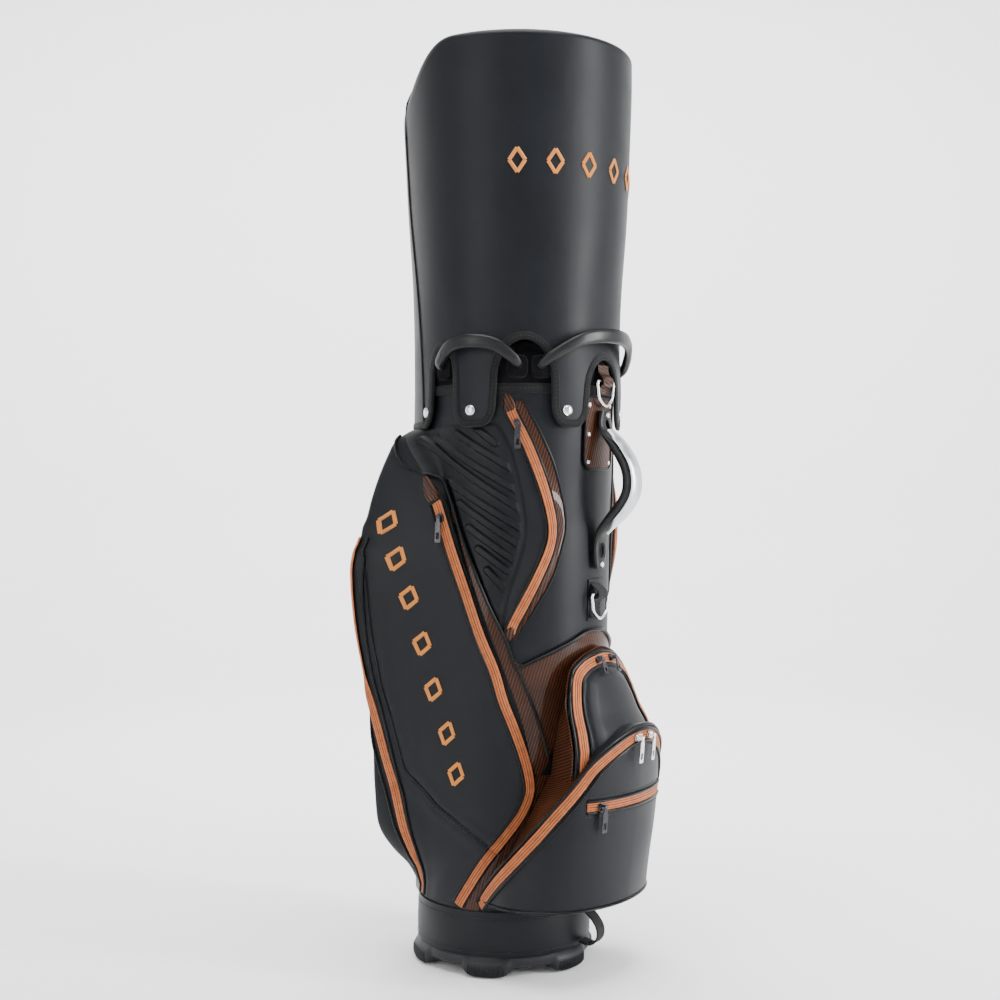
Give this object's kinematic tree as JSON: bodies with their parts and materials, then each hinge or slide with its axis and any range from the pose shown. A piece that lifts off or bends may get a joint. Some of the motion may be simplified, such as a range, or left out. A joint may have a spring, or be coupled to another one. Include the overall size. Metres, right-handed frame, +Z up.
{
  "type": "golf staff bag",
  "caption": "Leather golf staff bag with rain hood, zipped side, ball and garment pockets, carry handle, cuff handles, D-rings and full-length dividers.",
  "frame": {"origin": "on the ground under the middle of the base, on the flat pad of the base tray", "axes": "+Z up, -Y towards the front of the bag (ball pocket and carry handle), +X to the bag's right-hand pockets seen from the front"},
  "size_m": [0.3715, 0.3578, 1.206],
  "materials": {
    "soft_leather": "matt soft grain",
    "velvet": "short black pile",
    "nylon": "plain woven lining",
    "webbing": "ribbed webbing",
    "zipper_tape": "coil zipper tape, copper orange",
    "glossy_weave": "clear-coated brown twill",
    "moulded_black": "satin moulded",
    "silver": "satin chrome",
    "gunmetal": "dark plated metal"
  },
  "bodies": {
    "bag": {"base_tray": "moulded_black", "base_band": "soft_leather", "base_grab_loop": "webbing", "body_tube": "soft_leather", "cuff_ring": "velvet", "divider_sleeves": "nylon", "divider_frame": "velvet", "cuff_handle_front": "moulded_black", "cuff_handle_left": "moulded_black", "cuff_handle_right": "moulded_black", "ball_pocket": "soft_leather", "garment_pocket": "soft_leather", "front_yoke": "glossy_weave", "side_pocket_left": "soft_leather", "side_pocket_right": "soft_leather", "rib_panel_left": "soft_leather", "rib_panel_right": "soft_leather", "upper_pocket_crescent_left": "glossy_weave", "upper_pocket_crescent_right": "glossy_weave", "side_front_zipper_left": "zipper_tape", "side_rear_zipper_left": "zipper_tape", "upper_zipper_left": "zipper_tape", "side_front_zipper_right": "zipper_tape", "side_rear_zipper_right": "zipper_tape", "upper_zipper_right": "zipper_tape", "ball_zipper": "zipper_tape", "ball_lower_zipper": "zipper_tape", "garment_zipper": "zipper_tape", "handle_plate": "glossy_weave", "carry_handle_grip": "moulded_black", "carry_handle_trim": "silver", "ring_tab_upper": "webbing", "ring_tab_lower": "webbing"},
    "hood": {"hood_shell": "soft_leather", "hood_snap_front_left": "silver", "hood_snap_front_right": "silver", "hood_snap_side_left": "silver", "hood_snap_side_right": "silver", "hood_snap_back_left": "silver", "hood_snap_back_right": "silver"},
    "strap_ring_upper": {"strap_ring_upper": "silver"},
    "strap_ring_lower": {"strap_ring_lower": "silver"},
    "side_zipper_left_slider": {"side_zipper_left_slider": "gunmetal"},
    "side_zipper_left_pull": {"side_zipper_left_pull": "gunmetal"},
    "side_zipper_right_slider": {"side_zipper_right_slider": "gunmetal"},
    "side_zipper_right_pull": {"side_zipper_right_pull": "gunmetal"},
    "upper_zipper_left_slider": {"upper_zipper_left_slider": "gunmetal"},
    "upper_zipper_left_pull": {"upper_zipper_left_pull": "gunmetal"},
    "upper_zipper_right_slider": {"upper_zipper_right_slider": "gunmetal"},
    "upper_zipper_right_pull": {"upper_zipper_right_pull": "gunmetal"},
    "ball_zipper_left_slider": {"ball_zipper_left_slider": "gunmetal"},
    "ball_zipper_left_pull": {"ball_zipper_left_pull": "gunmetal"},
    "ball_zipper_right_slider": {"ball_zipper_right_slider": "gunmetal"},
    "ball_zipper_right_pull": {"ball_zipper_right_pull": "gunmetal"},
    "garment_zipper_left_slider": {"garment_zipper_left_slider": "gunmetal"},
    "garment_zipper_left_pull": {"garment_zipper_left_pull": "gunmetal"},
    "garment_zipper_right_slider": {"garment_zipper_right_slider": "gunmetal"},
    "garment_zipper_right_pull": {"garment_zipper_right_pull": "gunmetal"},
    "ball_lower_zipper_slider": {"ball_lower_zipper_slider": "gunmetal"},
    "ball_lower_zipper_pull": {"ball_lower_zipper_pull": "gunmetal"}
  },
  "joints": [
    {"name": "hood_lift", "type": "slide", "parent": "bag", "child": "hood", "axis": [0, 0, 1], "range_m": [0, 0.45]},
    {"name": "strap_ring_upper_swing", "type": "hinge", "parent": "bag", "child": "strap_ring_upper", "pos_m": [0, -0.1625, 0.768], "axis": [-1, 0, 0], "range_deg": [0, 100]},
    {"name": "strap_ring_lower_swing", "type": "hinge", "parent": "bag", "child": "strap_ring_lower", "pos_m": [0, -0.15408, 0.492], "axis": [-1, 0, 0], "range_deg": [0, 100]},
    {"name": "side_zipper_left_run", "type": "slide", "parent": "bag", "child": "side_zipper_left_slider", "axis": [0.0246, -0.3332, -0.9425], "range_m": [0, 0.05]},
    {"name": "side_zipper_left_pull_swing", "type": "hinge", "parent": "side_zipper_left_slider", "child": "side_zipper_left_pull", "pos_m": [-0.15187, -0.00486, 0.59249], "axis": [-0.2192, 0.9757, 0], "range_deg": [0, 120]},
    {"name": "side_zipper_right_run", "type": "slide", "parent": "bag", "child": "side_zipper_right_slider", "axis": [-0.0247, -0.3332, -0.9425], "range_m": [0, 0.05]},
    {"name": "side_zipper_right_pull_swing", "type": "hinge", "parent": "side_zipper_right_slider", "child": "side_zipper_right_pull", "pos_m": [0.15187, -0.00486, 0.59249], "axis": [-0.2194, -0.9756, 0], "range_deg": [0, 120]},
    {"name": "upper_zipper_left_run", "type": "slide", "parent": "bag", "child": "upper_zipper_left_slider", "axis": [0.2649, -0.3562, -0.8961], "range_m": [0, 0.03]},
    {"name": "upper_zipper_left_pull_swing", "type": "hinge", "parent": "upper_zipper_left_slider", "child": "upper_zipper_left_pull", "pos_m": [-0.11447, -0.10209, 0.71183], "axis": [-0.5673, 0.8235, 0], "range_deg": [0, 120]},
    {"name": "upper_zipper_right_run", "type": "slide", "parent": "bag", "child": "upper_zipper_right_slider", "axis": [-0.2683, -0.3539, -0.8959], "range_m": [0, 0.03]},
    {"name": "upper_zipper_right_pull_swing", "type": "hinge", "parent": "upper_zipper_right_slider", "child": "upper_zipper_right_pull", "pos_m": [0.11442, -0.10216, 0.71183], "axis": [-0.5745, -0.8185, 0], "range_deg": [0, 120]},
    {"name": "ball_zipper_left_run", "type": "slide", "parent": "bag", "child": "ball_zipper_left_slider", "axis": [-0.9578, 0.0996, -0.2696], "range_m": [0, 0.03]},
    {"name": "ball_zipper_left_pull_swing", "type": "hinge", "parent": "ball_zipper_left_slider", "child": "ball_zipper_left_pull", "pos_m": [-0.01523, -0.22704, 0.31315], "axis": [-0.9972, 0.0746, 0], "range_deg": [0, 120]},
    {"name": "ball_zipper_right_run", "type": "slide", "parent": "bag", "child": "ball_zipper_right_slider", "axis": [0.9583, 0.0928, -0.2704], "range_m": [0, 0.03]},
    {"name": "ball_zipper_right_pull_swing", "type": "hinge", "parent": "ball_zipper_right_slider", "child": "ball_zipper_right_pull", "pos_m": [0.01516, -0.22704, 0.31315], "axis": [-0.9977, -0.0675, 0], "range_deg": [0, 120]},
    {"name": "garment_zipper_left_run", "type": "slide", "parent": "bag", "child": "garment_zipper_left_slider", "axis": [-0.977, 0.0478, -0.2077], "range_m": [0, 0.012]},
    {"name": "garment_zipper_left_pull_swing", "type": "hinge", "parent": "garment_zipper_left_slider", "child": "garment_zipper_left_pull", "pos_m": [-0.01645, -0.16906, 0.41106], "axis": [-0.9941, 0.1089, 0], "range_deg": [0, 120]},
    {"name": "garment_zipper_right_run", "type": "slide", "parent": "bag", "child": "garment_zipper_right_slider", "axis": [0.9778, 0.0399, -0.2055], "range_m": [0, 0.012]},
    {"name": "garment_zipper_right_pull_swing", "type": "hinge", "parent": "garment_zipper_right_slider", "child": "garment_zipper_right_pull", "pos_m": [0.01637, -0.16906, 0.41106], "axis": [-0.995, -0.1002, 0], "range_deg": [0, 120]},
    {"name": "ball_lower_zipper_run", "type": "hinge", "parent": "bag", "child": "ball_lower_zipper_slider", "pos_m": [0, -0.00738, 0.233], "axis": [0, 0, 1], "range_deg": [0, 40]},
    {"name": "ball_lower_zipper_pull_swing", "type": "hinge", "parent": "ball_lower_zipper_slider", "child": "ball_lower_zipper_pull", "pos_m": [-0.07268, -0.20643, 0.23205], "axis": [-0.9314, 0.364, 0], "range_deg": [0, 120]}
  ]
}
